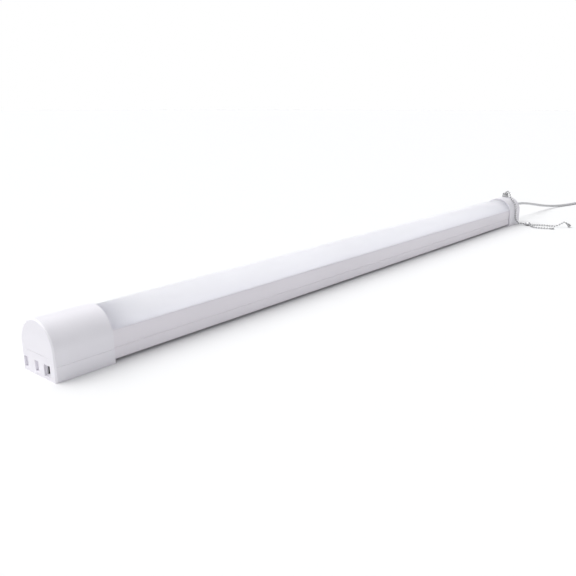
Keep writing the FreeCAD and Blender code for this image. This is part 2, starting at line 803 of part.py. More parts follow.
# ---------------------------------------------------------------- pull switch
def make_switch():
    """The pull switch under the crown: housing, lid, wheel on its axle, nipple and nut."""
    length, wall = size("switch_length"), size("switch_wall")
    near, far = -size("switch_near_side"), size("switch_far_side")
    low, height = size("cap_height") - size("switch_drop"), size("switch_height")
    x = CHAIN_X - length / 2
    block = box("switch_block", x, near, low, length, far - near, height)
    room = box("switch_room", x + wall, near + wall, low + wall,
               length, far - near - wall * 2, height - wall * 2)
    bore = rod("nipple_bore_through", CHAIN_X, 0, low + height - wall * 2,
               size("nipple_bore"), wall * 3)
    wheel_y = size("wheel_pitch_radius")
    wheel_z = WHEEL_HEIGHT
    axle = size("axle_radius")
    axle_hole = rod("axle_seat", x - PAST, wheel_y, wheel_z, axle, wall + PAST, ALONG_X)
    part("switch_housing", cut("switch_shell", block, room, bore, axle_hole))

    lid_block = box("switch_lid_block", x + length, near, low, wall, far - near, height)
    lid_hole = rod("lid_axle_seat", x + length - PAST, wheel_y, wheel_z, axle, wall + PAST * 2, ALONG_X)
    part("switch_lid", cut("switch_cover", lid_block, lid_hole))
    part("switch_axle", rod("axle", x, wheel_y, wheel_z, axle, length + wall, ALONG_X))
    make_wheel(wheel_y, wheel_z)

    top, lip = NIPPLE_TOP, size("nipple_lip_radius")
    base = low + height
    barrel, hole, lip_height = size("nipple_radius"), size("nipple_bore"), size("nipple_lip_height")
    tall = top - base
    barrel_and_lip = stack("nipple", [(barrel, tall - lip_height), (lip, lip_height)], CHAIN_X, 0, base)
    way = rod("nipple_way", CHAIN_X, 0, base - PAST, hole, tall + PAST * 2)
    part("switch_nipple", cut("nipple_bored", barrel_and_lip, way))
    gap, nut_height = size("nut_gap"), size("nut_height")
    nut_base = size("cap_height") + gap
    flats = int(round(size("nut_flats").number))
    nut = rod("nut_prism", CHAIN_X, 0, nut_base, size("nut_radius"), nut_height, sides=flats)
    nut_hole = rod("nut_hole", CHAIN_X, 0, nut_base - PAST, barrel + gap, nut_height + PAST * 2)
    part("switch_nut", cut("nut_bored", nut, nut_hole))


def make_wheel(wheel_y, wheel_z):
    """A grooved wheel that the chain winds on, with ratchet teeth on one flange."""
    bore = size("axle_radius") + size("axle_gap")
    groove, flange = size("wheel_groove_width"), size("wheel_flange_width")
    rim = size("wheel_flange_radius")
    floor = size("wheel_pitch_radius") - size("stub_radius") - size("stub_gap")
    x = CHAIN_X - groove / 2 - flange
    core = rod("wheel_core", x, wheel_y, wheel_z, floor, flange * 2 + groove, ALONG_X)
    flanges = [rod(f"wheel_flange_{i}", x + (flange + groove) * i, wheel_y, wheel_z, rim, flange, ALONG_X)
               for i in (0, 1)]
    ratchet = new_body("ratchet_ring")
    count = int(round(size("ratchet_teeth").number))
    corners = []
    for i in range(count):
        for steepness, reach in ((0.0, rim), (0.12, rim - size("ratchet_depth"))):
            angle = 2 * math.pi * (i + steepness) / count
            corners.append((reach * math.cos(angle), reach * math.sin(angle)))
    teeth = sketch(ratchet, "ratchet_teeth_outline", "XY_Plane", corners)
    pad(ratchet, teeth, flange * 1.5)
    place(ratchet, x + flange * 2 + groove, wheel_y, wheel_z, ALONG_X)
    solid = fuse("wheel_with_ratchet", core, *flanges, ratchet)
    axle_way = cylinder("wheel_bore", x - PAST, wheel_y, wheel_z, bore,
                        flange * 4 + groove + PAST * 2, ALONG_X)
    part("switch_wheel", cut("wheel_bored", solid, axle_way))


def make_chain_stub():
    """The chain's inner end: from the wheel's rim up into the nipple."""
    return part("chain_stub", rod("stub", CHAIN_X, 0, WHEEL_HEIGHT, size("stub_radius"),
                                  CHAIN_START_HEIGHT - WHEEL_HEIGHT))


# ---------------------------------------------------------------- tubes that follow a route
CORD_SIDES, CHAIN_SIDES = 5, 4
ROUTE_CROWN, ROUTE_HALF, ROUTE_EXIT = 62.0, 31.75, 37.0    # the cap that the routes are laid over
ROUTE_FLOOR = 10.0                                         # lower than this, a route lies on the floor


def lifted(height, top, now):
    """A height on a route whose top has moved: it follows in full there, and not at all on the floor."""
    share = (height - ROUTE_FLOOR) / (top - ROUTE_FLOOR)
    return height + (now.number - top) * min(1.0, max(0.0, share))


def over_cap(points):
    """The chain's points, moved with the nipple, the crown and the cap's side."""
    spread = CAP_HALF.number - ROUTE_HALF
    return [Vector(CHAIN_X.number + x, y - spread * min(1.0, -y / ROUTE_HALF),
                   lifted(z, ROUTE_CROWN, size("cap_height")))
            for x, y, z in points]


def from_exit(points):
    """The cord's points, moved with the end face and the height of the exit in it."""
    return [Vector(HALF_LENGTH.number + x, y, lifted(z, ROUTE_EXIT, EXIT_HEIGHT)) for x, y, z in points]


def rounded_path(points, share=0.45):
    """Straight runs joined by tangent arcs, as large as their runs allow; also the radii."""
    edges, radii = [], []
    here = points[0]
    for before, corner, after in zip(points, points[1:], points[2:]):
        back, ahead = before - corner, after - corner
        shorter = min(back.Length, ahead.Length)
        back.normalize()
        ahead.normalize()
        half_turn = (math.pi - back.getAngle(ahead)) / 2
        reach = share * shorter
        radius = reach / math.tan(half_turn)
        radii.append(radius)
        first, last = corner + back * reach, corner + ahead * reach
        bisector = back + ahead
        bisector.normalize()
        centre = corner + bisector * (radius / math.cos(half_turn))
        middle = centre - bisector * radius
        edges.append(Part.LineSegment(here, first).toShape())
        edges.append(Part.Arc(first, middle, last).toShape())
        here = last
    edges.append(Part.LineSegment(here, points[-1]).toShape())
    return Part.Wire(edges), radii


def tube_along(path, radius, sides):
    """A solid tube along a wire, with that many flats, the first of them underneath."""
    start = path.Edges[0]
    at = start.valueAt(start.FirstParameter)
    along = start.tangentAt(start.FirstParameter)
    aside = Vector(0, 0, 1).cross(along)
    aside = aside.normalize() if aside.Length > 0.1 else Vector(1, 0, 0)
    upward = along.cross(aside)
    angles = [math.pi * (2 * i + 1) / sides - math.pi / 2 for i in range(sides)]
    ring = [at + aside * (radius * math.cos(a)) + upward * (radius * math.sin(a)) for a in angles]
    shell = Part.BRepOffsetAPI.MakePipeShell(path)
    shell.add(Part.makePolygon(ring + ring[:1]))
    shell.build()
    shell.makeSolid()
    return shell.shape()


def route_tube(name, points, diameter, sides):
    """A cord's tube along its route, reported with its radii and the check of its volume."""
    path, radii = rounded_path(points)
    solid = tube_along(path, diameter / 2, sides)
    expected = sides / 2 * math.sin(2 * math.pi / sides) * diameter**2 / 4 * path.Length
    print(f"{name}: length {path.Length:.1f} mm, radii "
          + " ".join(f"{r:.1f}" for r in radii)
          + f", volume {solid.Volume / expected:.4f} of its section times its length")
    obj = doc.addObject("Part::Feature", name + "_tube")
    obj.Shape = solid
    return part(name, obj)


# ---------------------------------------------------------------- pull chain
CHAIN_START_HEIGHT = NIPPLE_TOP - size("chain_start_drop")
PULL_ROUTE = [                  # along from the nipple, across and up, as are the next two
    (0.0, 0.0, 66.0), (0.0, 0.0, 75.4), (-2.2, -9.0, 75.4), (-3.6, -12.2, 68.2),
    (-4.9, -15.7, 60.8), (-8.0, -24.0, 54.9), (-11.2, -30.1, 46.8), (-14.1, -33.7, 37.4),
    (-16.1, -34.3, 27.4), (-14.9, -34.4, 17.6), (-10.3, -35.4, 8.8), (-6.1, -40.2, 3.5),
    (-5.7, -46.8, 4.0), (-5.7, -53.0, 4.3),
]
BELL_ROUTE = [
    (-3.5, -65.3, 4.3), (-1.7, -70.8, 2.6), (4.7, -74.6, 2.2), (10.9, -81.0, 2.1),
    (13.7, -89.6, 2.2), (14.9, -99.0, 2.1), (18.1, -107.4, 2.2), (19.1, -115.2, 2.1),
    (19.7, -121.8, 4.0), (21.9, -127.4, 7.6), (24.9, -132.0, 11.6), (28.4, -135.2, 12.7),
    (31.0, -138.0, 9.45),
]
TAIL_ROUTE = [
    (-7.9, -65.3, 4.3), (-11.1, -71.0, 2.6), (-19.1, -75.6, 2.2), (-24.9, -83.0, 2.1),
    (-26.9, -92.4, 2.2), (-23.9, -101.4, 2.1), (-20.3, -109.6, 2.2), (-17.2, -118.6, 2.2),
]


def make_chain():
    """The bead chain's three free runs as plain tubes, with the pieces that join and end them."""
    diameter = size("chain_diameter").number
    pull, extension, tail_run = over_cap(PULL_ROUTE), over_cap(BELL_ROUTE), over_cap(TAIL_ROUTE)
    pull[0].z = CHAIN_START_HEIGHT.number
    route_tube("pull_chain", pull, diameter, CHAIN_SIDES)
    route_tube("chain_extension", extension, diameter, CHAIN_SIDES)
    route_tube("chain_tail", tail_run, diameter, CHAIN_SIDES)
    length, big = size("connector_length"), size("connector_radius")
    small = size("chain_diameter") / 2 + size("sleeve_wall")
    end = pull[-1]
    part("chain_connector", stack("connector", [
        (small, length / 3), ((small + big) / 2, length / 6), (big, length / 2),
    ], end.x, end.y - size("sleeve_gap"), end.z, ALONG_MINUS_Y))
    bell, rim = size("bell_length"), size("bell_radius")
    end_piece("chain_bell", extension, [
        (small, bell * 0.4), ((small + rim) / 2, bell * 0.3), (rim, bell * 0.3)])
    tail, radius = size("tail_connector_length"), size("tail_connector_radius")
    end_piece("tail_connector", tail_run, [
        (radius * 0.8, tail * 0.2), (radius, tail * 0.6), (radius * 0.8, tail * 0.2)])


def end_piece(name, route, steps):
    """A turned piece on a run's end, in line with its last stretch."""
    start, before = route[-1], route[-2]
    rotation = Rotation(Vector(0, 0, 1), start - before)
    return part(name, stack(name + "_steps", steps, start.x, start.y, start.z, rotation))


# ---------------------------------------------------------------- cord, coil and plug
COIL_CENTRE = (484.5, -86.8)    # along from the light's end and across, as is the cord's route
CORD_ROUTE = [
    (30.0, 0, 37.0), (58.5, 0.2, 36.6), (92.5, 0.0, 34.6), (130.5, -0.8, 29.8),
    (172.5, -1.8, 23.4), (216.5, -3.6, 16.0), (260.5, -6.6, 9.6), (302.5, -11.6, 5.0),
    (338.5, -20.0, 3.2), (372.5, -30.5, 3.1), (410.5, -38.0, 3.1), (448.5, -42.2, 3.2),
]


COIL_DIP = 0.4                  # share of the pitch that the climbing half turn draws in by


def coil_frame(turn, turns):
    """A point of the coil's centreline and its heading, that many turns from its start."""
    outer, pitch = size("coil_radius").number, size("coil_pitch").number
    half = (turns - 0.5) / 2
    if turn <= half:
        radius, slope = outer - pitch * turn, -pitch
        height, climb = 0.0, 0.0
    elif turn <= half + 0.5:
        share = (turn - half) / 0.5
        radius = outer - pitch * half - COIL_DIP * pitch * math.sin(math.pi * share) ** 2
        slope = -2 * COIL_DIP * pitch * math.pi * math.sin(2 * math.pi * share)
        height = pitch * (share - math.sin(2 * math.pi * share) / (2 * math.pi))
        climb = 2 * pitch * (1 - math.cos(2 * math.pi * share))
    else:
        radius, slope = outer - pitch * half + pitch * (turn - half - 0.5), pitch
        height, climb = pitch, 0.0
    angle = math.pi / 2 - 2 * math.pi * turn
    outward = Vector(math.cos(angle), math.sin(angle), 0)
    onward = Vector(math.sin(angle), -math.cos(angle), 0)
    at = outward * radius + Vector(0, 0, height)
    heading = onward * (2 * math.pi * radius) + outward * slope + Vector(0, 0, climb)
    heading.normalize()
    return at, heading


def biarc(first, heading1, last, heading2):
    """Two arcs that leave and arrive along the two headings."""
    chord, total = last - first, heading1 + heading2
    spread = 2 * (1 - heading1.dot(heading2))
    along = chord.dot(total)
    if spread < 1e-9:
        reach = chord.dot(chord) / (2 * along)
    else:
        reach = (-along + math.sqrt(along**2 + spread * chord.dot(chord))) / spread
    joint = (first + last + (heading1 - heading2) * reach) * 0.5
    return [arc_from(first, heading1, joint), arc_from(last, -heading2, joint)]


def arc_from(start, heading, end):
    """The arc that leaves start along heading and ends at end."""
    chord = end - start
    unit = Vector(chord).normalize()
    aside = heading - unit * heading.dot(unit)
    if aside.Length < 1e-7:
        return Part.LineSegment(start, end).toShape()
    lean = math.acos(max(-1.0, min(1.0, heading.dot(unit))))
    aside.normalize()
    middle = start + chord * 0.5 + aside * (chord.Length / 2 * math.tan(lean / 2))
    return Part.Arc(start, middle, end).toShape()


def make_coil():
    """The put-away length: a neat coil of one unbroken tube, in two layers."""
    diameter, pitch = size("cord_diameter").number, size("coil_pitch").number
    turns = size("coil_turns").number
    centre = Vector(HALF_LENGTH.number + COIL_CENTRE[0], COIL_CENTRE[1],
                    diameter / 2 + size("floor_gap").number)
    steps = int(round(turns * 4))
    frames = [coil_frame(i / 4, turns) for i in range(steps + 1)]
    frames = [(centre + at, heading) for at, heading in frames]
    edges = [Part.LineSegment(frames[0][0] - frames[0][1] * diameter, frames[0][0]).toShape()]
    for (p, a), (q, b) in zip(frames, frames[1:]):
        edges += biarc(p, a, q, b)
    last, heading = frames[-1]
    tail_end = last + heading * diameter * 3
    edges.append(Part.LineSegment(last, tail_end).toShape())
    path = Part.Wire(edges)
    solid = tube_along(path, diameter / 2, CORD_SIDES)
    obj = doc.addObject("Part::Feature", "cord_coil_tube")
    obj.Shape = solid
    part("power_cord_coil", obj)
    spacing = 2.0
    spots = path.discretize(Distance=spacing)
    under_half_turn = int(0.4 * 2 * math.pi * size("coil_radius").number / spacing)
    apart = min(a.distanceToPoint(b) for i, a in enumerate(spots) for b in spots[i + under_half_turn:])
    print(f"power_cord_coil: length {path.Length:.1f} mm, least gap to itself "
          f"{apart - diameter:.2f} mm, volume {solid.Volume:.0f} mm3")
    return frames[0][0] - frames[0][1] * diameter, tail_end, heading


def make_cord():
    """The free run from the grip to the coil, the coil, and the plug on the end beside it."""
    diameter = size("cord_diameter").number
    coil_start, coil_end, heading = make_coil()
    route_tube("power_cord", from_exit(CORD_ROUTE) + [coil_start], diameter, CORD_SIDES)
    make_plug(coil_end, heading)


def make_plug(at, heading):
    """A moulded three-pin plug lying beside the coil, its cord straight out of its back."""
    level = Vector(heading.x, heading.y, 0).normalize()
    turn = math.degrees(math.atan2(level.y, level.x))
    rotation = Rotation(Vector(0, 0, 1), turn)
    length, width, thick = size("plug_length"), size("plug_width"), size("plug_thickness")
    base = size("plug_floor_gap") - at.z
    body = new_body("plug_moulding")
    outline = [
        (length * 0.3, -width * 0.3), (length * 0.6, -width / 2), (length, -width / 2),
        (length, width / 2), (length * 0.6, width / 2), (length * 0.3, width * 0.3),
    ]
    moulding = pad(body, sketch(body, "plug_outline", "XY_Plane", outline, base), thick)
    face = length.number
    soften_edges(
        body, moulding,
        lambda p, edge: p.x < face - 0.5 and abs(edge.Vertexes[0].Z - edge.Vertexes[-1].Z) > 1,
        radius=size("plug_corner_round"))
    place(body, at.x, at.y, at.z, rotation)
    wall = size("plug_neck_wall")
    thin = size("cord_diameter") / 2 + wall
    neck = stack("plug_neck", [(thin + wall * step, length / 8) for step in range(3)],
                 at.x, at.y, at.z, rotation.multiply(ALONG_X))
    part("plug_body", fuse("plug_moulding_with_neck", body, neck))

    blades = []
    spacing, blade = size("blade_spacing"), size("blade_thickness")
    height = base + thick / 2 + size("ground_pin_offset") * 0.4
    for side in (-1, 1):
        flat = doc.addObject("Part::Box", f"blade_{side + 2}")
        bind(flat, Length=size("blade_length"), Width=blade, Height=size("blade_width"))
        shift = [length, spacing * side / 2 - blade / 2, height - size("blade_width") / 2]
        place_turned(flat, at, rotation, shift)
        blades.append(flat)
    pin = doc.addObject("Part::Prism", "ground_pin")
    pin.Polygon = ROUND_SIDES
    bind(pin, Circumradius=size("ground_pin_radius"), Height=size("ground_pin_length"))
    place_turned(pin, at, rotation, [length, dim(0), height - size("ground_pin_offset")], ALONG_X)
    blades.append(pin)
    part("plug_blades", group("plug_pins", *blades))


def place_turned(obj, origin, rotation, shift, own=Rotation()):
    """Places a piece by its shift in the plug's own turned frame."""
    x_axis = rotation.multVec(Vector(1, 0, 0))
    y_axis = rotation.multVec(Vector(0, 1, 0))
    obj.Placement = Placement(Vector(0, 0, 0), rotation.multiply(own))
    bind(obj,
         Placement__Base__x=origin.x + shift[0] * x_axis.x + shift[1] * y_axis.x,
         Placement__Base__y=origin.y + shift[0] * x_axis.y + shift[1] * y_axis.y,
         Placement__Base__z=origin.z + shift[2])


def make_cord_grip():
    """The strain relief: a flange inside the end face, and a tapered ribbed sleeve outside it."""
    wall, flange = size("cap_wall"), size("grip_flange")
    root_radius, tip = size("grip_root_radius"), size("grip_tip_radius")
    length, bore = size("grip_length"), size("cord_diameter") / 2
    start = HALF_LENGTH - wall - flange
    rings = int(round(size("grip_rings").number))
    taper = [(root_radius - (root_radius - tip) * (i + 1) / rings, length / (rings + 1))
             for i in range(rings)]
    sleeve = stack("grip", [
        (size("grip_flange_radius"), flange), (root_radius, wall + length / (rings + 1)), *taper,
    ], start, 0, EXIT_HEIGHT, ALONG_X)
    way = rod("grip_way", start - PAST, 0, EXIT_HEIGHT, bore, flange + wall + length + PAST * 2, ALONG_X)
    part("cord_grip", cut("grip_bored", sleeve, way))


# ---------------------------------------------------------------- inside the caps
def make_wiring():
    """The terminal block, the cord's inner end and the three wires to the link socket."""
    length, width = size("terminal_length"), size("terminal_width")
    height, floor = size("terminal_height"), size("cap_floor")
    x = CHANNEL_END + size("terminal_inset")
    y = -POST_SIDE + size("post_radius") + size("terminal_side_gap")
    part("terminal_block", box("terminals", x, y, floor, length, width, height))

    wire, pitch = size("wire_diameter"), size("wire_pitch")
    for i, name in zip((-1, 0, 1), ("live_wire", "ground_wire", "neutral_wire")):
        part(name, rod(name + "_run", SOCKET_BACK, PORT_Y + pitch * i, size("wire_height"),
                       wire / 2, x - SOCKET_BACK, ALONG_X, WIRE_SIDES))

    radius = size("cord_diameter") / 2
    bend = size("inner_bend").number
    grip_tip = HALF_LENGTH + size("grip_length")
    down_x = (x + length / 2).number
    top = (floor + height).number
    high = EXIT_HEIGHT.number
    path = Part.Wire([
        Part.LineSegment(Vector(grip_tip.number, 0, high), Vector(down_x + bend, 0, high)).toShape(),
        Part.Arc(Vector(down_x + bend, 0, high),
                 Vector(down_x + bend * (1 - math.sin(math.pi / 4)), 0,
                        high - bend * (1 - math.cos(math.pi / 4))),
                 Vector(down_x, 0, high - bend)).toShape(),
        Part.LineSegment(Vector(down_x, 0, high - bend), Vector(down_x, 0, top)).toShape(),
    ])
    inner = doc.addObject("Part::Feature", "cord_inner_tube")
    inner.Shape = tube_along(path, radius.number, CHAIN_SIDES)
    part("cord_inner_end", inner)


def main():
    make_channel()
    make_lens()
    make_tray()
    make_boards()
    make_driver()
    make_outlet_cap()
    make_link_socket()
    make_cord_cap()
    make_switch()
    make_chain_stub()
    make_chain()
    make_cord_grip()
    make_wiring()
    make_cord()
    doc.recompute()
    for obj in doc.Objects:
        if "Invalid" in obj.State or "Error" in obj.State:
            raise RuntimeError(f"{obj.Label} failed: {obj.State}")
    for name, obj in PARTS.items():
        if obj.Shape.isNull() or not obj.Shape.isValid() or not obj.Shape.Solids:
            raise RuntimeError(f"{name} has no valid solid")
    os.makedirs("parts", exist_ok=True)
    for name, obj in PARTS.items():
        obj.Shape.exportStep(f"parts/{name}.step")
        low = obj.Shape.optimalBoundingBox().ZMin
        print(f"{name}: {len(obj.Shape.Solids)} solids, {obj.Shape.Volume / 1000:.2f} cm3, "
              f"lowest point {low:.2f} mm")


main()
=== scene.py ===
"""The look of a linkable LED shop light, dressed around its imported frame.

The light lies on its back with its lens up: +X runs along it to the end with the switch and the
cord, and +Z is up.  Lengths are in millimetres here, and MM turns them into Blender's metres.
Those in calls of fk, those read from a curve, and those marked so are in metres.
"""

import json
import math

import bmesh
import bpy
from mathutils import Matrix, Vector


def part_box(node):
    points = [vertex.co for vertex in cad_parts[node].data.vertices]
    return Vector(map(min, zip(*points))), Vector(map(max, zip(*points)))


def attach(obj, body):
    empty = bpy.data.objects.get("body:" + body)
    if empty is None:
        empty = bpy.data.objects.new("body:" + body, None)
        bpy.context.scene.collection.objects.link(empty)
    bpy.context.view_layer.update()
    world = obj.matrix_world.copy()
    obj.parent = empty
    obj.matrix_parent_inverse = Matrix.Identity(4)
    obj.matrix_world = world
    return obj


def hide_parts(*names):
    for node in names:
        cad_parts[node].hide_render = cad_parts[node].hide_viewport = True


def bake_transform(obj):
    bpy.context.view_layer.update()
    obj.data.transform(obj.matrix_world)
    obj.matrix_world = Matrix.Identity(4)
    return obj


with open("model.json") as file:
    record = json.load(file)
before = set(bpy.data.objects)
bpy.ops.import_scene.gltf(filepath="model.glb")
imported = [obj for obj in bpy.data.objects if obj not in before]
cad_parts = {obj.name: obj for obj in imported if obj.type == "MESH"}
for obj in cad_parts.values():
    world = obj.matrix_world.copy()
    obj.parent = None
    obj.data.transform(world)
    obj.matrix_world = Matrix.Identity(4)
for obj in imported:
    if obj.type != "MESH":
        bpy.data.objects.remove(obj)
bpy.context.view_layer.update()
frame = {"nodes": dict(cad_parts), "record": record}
NODES = frame["nodes"]
MM = 0.001

# ---------------------------------------------------------------- routes, as in the part's source
PULL_ROUTE = [
    (592.5, 0.0, 66.0), (592.5, 0.0, 75.4), (590.3, -9.0, 75.4), (588.9, -12.2, 68.2),
    (587.6, -15.7, 60.8), (584.5, -24.0, 54.9), (581.3, -30.1, 46.8), (578.4, -33.7, 37.4),
    (576.4, -34.3, 27.4), (577.6, -34.4, 17.6), (582.2, -35.4, 8.8), (586.4, -40.2, 3.5),
    (586.8, -46.8, 4.0), (586.8, -53.0, 4.3),
]
BELL_ROUTE = [
    (589.0, -65.3, 4.3), (590.8, -70.8, 2.6), (597.2, -74.6, 2.2), (603.4, -81.0, 2.1),
    (606.2, -89.6, 2.2), (607.4, -99.0, 2.1), (610.6, -107.4, 2.2), (611.6, -115.2, 2.1),
    (612.2, -121.8, 4.0), (614.4, -127.4, 7.6), (617.4, -132.0, 11.6), (620.9, -135.2, 12.7),
    (623.5, -138.0, 9.45),
]
TAIL_ROUTE = [
    (584.6, -65.3, 4.3), (581.4, -71.0, 2.6), (573.4, -75.6, 2.2), (567.6, -83.0, 2.1),
    (565.6, -92.4, 2.2), (568.6, -101.4, 2.1), (572.2, -109.6, 2.2), (575.3, -118.6, 2.2),
]
CORD_ROUTE = [
    (639.5, 0, 37.0), (668.0, 0.2, 36.6), (702.0, 0.0, 34.6), (740.0, -0.8, 29.8),
    (782.0, -1.8, 23.4), (826.0, -3.6, 16.0), (870.0, -6.6, 9.6), (912.0, -11.6, 5.0),
    (948.0, -20.0, 3.2), (982.0, -30.5, 3.1), (1020.0, -38.0, 3.1), (1058.0, -42.2, 3.2),
    (1088.0, -44.0, 3.2),
]
COIL_CENTRE = (1094.0, -86.8, 3.2)
COIL_RADIUS = 42.8
COIL_PITCH = 6.7
COIL_TURNS = 4.5
COIL_CLIMB = 0.5          # turns in which the cord climbs to the upper layer
COIL_DIP = 0.4            # how far the climb swings inwards, as a share of the pitch
COIL_STEPS = 24           # points in a turn
CORD_DIAMETER = 6.0
PLUG_LEAD = 18.0          # the cord's straight end, from the coil to the plug

# ---------------------------------------------------------------- bead chain
BEAD_DIAMETER = 3.9
BEAD_PITCH = 5.3
BEAD_HOLE = 0.45          # radius of the hole at each end of a bead
BEAD_FLAT = 0.95          # where a bead is cut flat, as a share of its radius
BEAD_STEPS = 10           # steps from one end of a bead to the other
BEAD_SEGMENTS = 18
LINK_RADIUS = 0.5
LINK_WAIST = 0.42         # radius at the middle of a link
LINK_HOLD = 0.7           # where a link ends inside its bead, as a share of the bead's radius
LINK_SEGMENTS = 10

# ---------------------------------------------------------------- edges
SMOOTH_ANGLE = 32         # degrees; sharper edges stay sharp
RIM_ANGLE = 40            # degrees; sharper edges get a small bevel
RIM_SEGMENTS = 3
RIM_WIDTHS = {
    "housing_channel": 0.25, "diffuser_lens": 0.2, "outlet_cap_cover": 0.35,
    "outlet_cap_base": 0.3, "cord_cap_cover": 0.35, "cord_cap_base": 0.3,
    "link_socket": 0.2, "plug_blades": 0.25, "switch_nipple": 0.15,
}
ROUND_SEGMENTS = 4
FOOT_ROUND = 1.2          # on the caps' undersides
END_ROUND = 1.9           # on the caps' ends over the lens
X_AXIS, Z_AXIS = 0, 2
CAP_CORE_HEIGHT = 0.02    # in metres; the caps' outward faces look away from this height
SAME_POINT = 1e-6         # in metres
SAME_LEVEL = 1e-5         # in metres

# ---------------------------------------------------------------- surfaces
PATCH_LOW, PATCH_HIGH = 0.35, 0.65        # noise levels at which a patch's two tones are reached
GLOSS_DRIFT = 0.05                        # roughness above and below the written one
SMOOTHEST = 0.02
BUMP_STRENGTH = 0.6

# ---------------------------------------------------------------- camera, floor and light
CAMERA_PLACE = (-0.91211, -0.59268, 0.26801)      # in metres
CAMERA_DIP = 0.27522                              # radians below level
CAMERA_HEADING = 0.70215                          # radians from +X towards +Y
CAMERA_LENS = 40.0085
CAMERA_SENSOR = 36
CAMERA_NEAR, CAMERA_FAR = 0.01, 200               # in metres
FLOOR_REACH = 60                                  # in metres
FLOOR_COLOR = (0.87, 0.87, 0.875)
WHITE = (1, 1, 1)
FILL_COLOR = (0.975, 0.985, 1.0)
FILL_STRENGTH = 0.49
# What gloss mirrors, by how far up it looks (0 is level or below, 1 straight up): pale low down,
# then a band of grey, and white above.
ROOM_TONES = ((0.0, 0.97), (0.06, 0.9), (0.14, 0.3), (0.5, 0.3), (0.7, 1.0), (1.0, 1.0))
KEY_ENERGY = 2.48
KEY_ANGLE = 60                                    # degrees
KEY_TOWARDS = (0.25, -0.46, -0.86)


def coil_points():
    """The coil's centreline: in along the floor, up a layer at the turn, and out again."""
    layer = (COIL_TURNS - COIL_CLIMB) / 2
    points = []
    for step in range(int(COIL_TURNS * COIL_STEPS) + 1):
        turn = step / COIL_STEPS
        if turn <= layer:
            radius, height = COIL_RADIUS - COIL_PITCH * turn, 0.0
        elif turn <= layer + COIL_CLIMB:
            share = (turn - layer) / COIL_CLIMB
            dip = COIL_DIP * COIL_PITCH * math.sin(math.pi * share) ** 2
            radius = COIL_RADIUS - COIL_PITCH * layer - dip
            height = COIL_PITCH * (share - math.sin(2 * math.pi * share) / (2 * math.pi))
        else:
            radius = COIL_RADIUS - COIL_PITCH * (COIL_TURNS - turn)
            height = COIL_PITCH
        angle = math.pi / 2 - 2 * math.pi * turn
        points.append((
            COIL_CENTRE[0] + radius * math.cos(angle),
            COIL_CENTRE[1] + radius * math.sin(angle),
            COIL_CENTRE[2] + height,
        ))
    return points


# ---------------------------------------------------------------- materials
def new_node(tree, kind, **inputs):
    """A shader node with some of its inputs set or linked."""
    node = tree.nodes.new(kind)
    for name, value in inputs.items():
        socket = node.inputs[name.replace("_", " ")]
        if isinstance(value, bpy.types.NodeSocket):
            tree.links.new(value, socket)
        else:
            socket.default_value = value
    return node


def mix_shaders(tree, share, first, second):
    """The first shader mixed with a share of the second."""
    mixed = new_node(tree, "ShaderNodeMixShader", Fac=share)
    tree.links.new(first.outputs[0], mixed.inputs[1])
    tree.links.new(second.outputs[0], mixed.inputs[2])
    return mixed


def color_ramp(tree, level, stops):
    """A colour ramp through (position, colour) stops, which are given in rising order."""
    ramp = new_node(tree, "ShaderNodeValToRGB", Fac=level)
    elements = ramp.color_ramp.elements
    elements[0].position = stops[0][0]
    elements[1].position = stops[-1][0]
    for position, _ in stops[1:-1]:
        elements.new(position)
    for element, (_, color) in zip(elements, stops):
        element.color = (*color, 1)
    return ramp


def material(name, color, rough, metal=0.0, patch=0.03, patch_size=60.0, grain=0.0,
             grain_size=0.6, stretch=(1, 1, 1), through=0.0, painted_glow=(0, 0, 0)):
    """A surface whose tone drifts in patches, with a fine grain in its bump and its gloss.

    patch is how far the tone drifts, as a share, and the sizes are in millimetres.  grain is the
    bump's height in thousandths of a millimetre.  through is the share of light that a translucent
    surface lets pass, and the colour given after it is an emission: a painted glow that brightens
    the wall, though the surface is no lamp.
    """
    made = bpy.data.materials.new(name)
    made.use_nodes = True
    tree = made.node_tree
    shader = tree.nodes["Principled BSDF"]
    place = new_node(tree, "ShaderNodeTexCoord")
    mapping = new_node(tree, "ShaderNodeMapping", Vector=place.outputs["Object"], Scale=stretch)
    patches = new_node(tree, "ShaderNodeTexNoise", Vector=mapping.outputs["Vector"],
                       Scale=1000 / patch_size, Detail=4.0, Roughness=0.6)
    low = [channel * (1 - patch) for channel in color]
    high = [min(1.0, channel * (1 + patch)) for channel in color]
    tones = color_ramp(tree, patches.outputs["Fac"], ((PATCH_LOW, low), (PATCH_HIGH, high)))
    tree.links.new(tones.outputs["Color"], shader.inputs["Base Color"])
    fine = new_node(tree, "ShaderNodeTexNoise", Vector=mapping.outputs["Vector"],
                    Scale=1000 / grain_size, Detail=3.0, Roughness=0.55)
    gloss = new_node(tree, "ShaderNodeMapRange", Value=fine.outputs["Fac"],
                     To_Min=max(SMOOTHEST, rough - GLOSS_DRIFT),
                     To_Max=min(1.0, rough + GLOSS_DRIFT))
    tree.links.new(gloss.outputs["Result"], shader.inputs["Roughness"])
    if grain:
        bump = new_node(tree, "ShaderNodeBump", Height=fine.outputs["Fac"],
                        Strength=BUMP_STRENGTH, Distance=grain * 1e-6)
        tree.links.new(bump.outputs["Normal"], shader.inputs["Normal"])
    shader.inputs["Metallic"].default_value = metal
    if through:
        passed = new_node(tree, "ShaderNodeBsdfTranslucent", Color=(*WHITE, 1))
        both = mix_shaders(tree, through, shader, passed)
        tree.links.new(both.outputs[0], tree.nodes["Material Output"].inputs["Surface"])
        # Painted glow: an emission that lights the translucent wall, though it is no lamp.
        shader.inputs["Emission Color"].default_value = (*painted_glow, 1)
        shader.inputs["Emission Strength"].default_value = 1 / (1 - through)
    return made


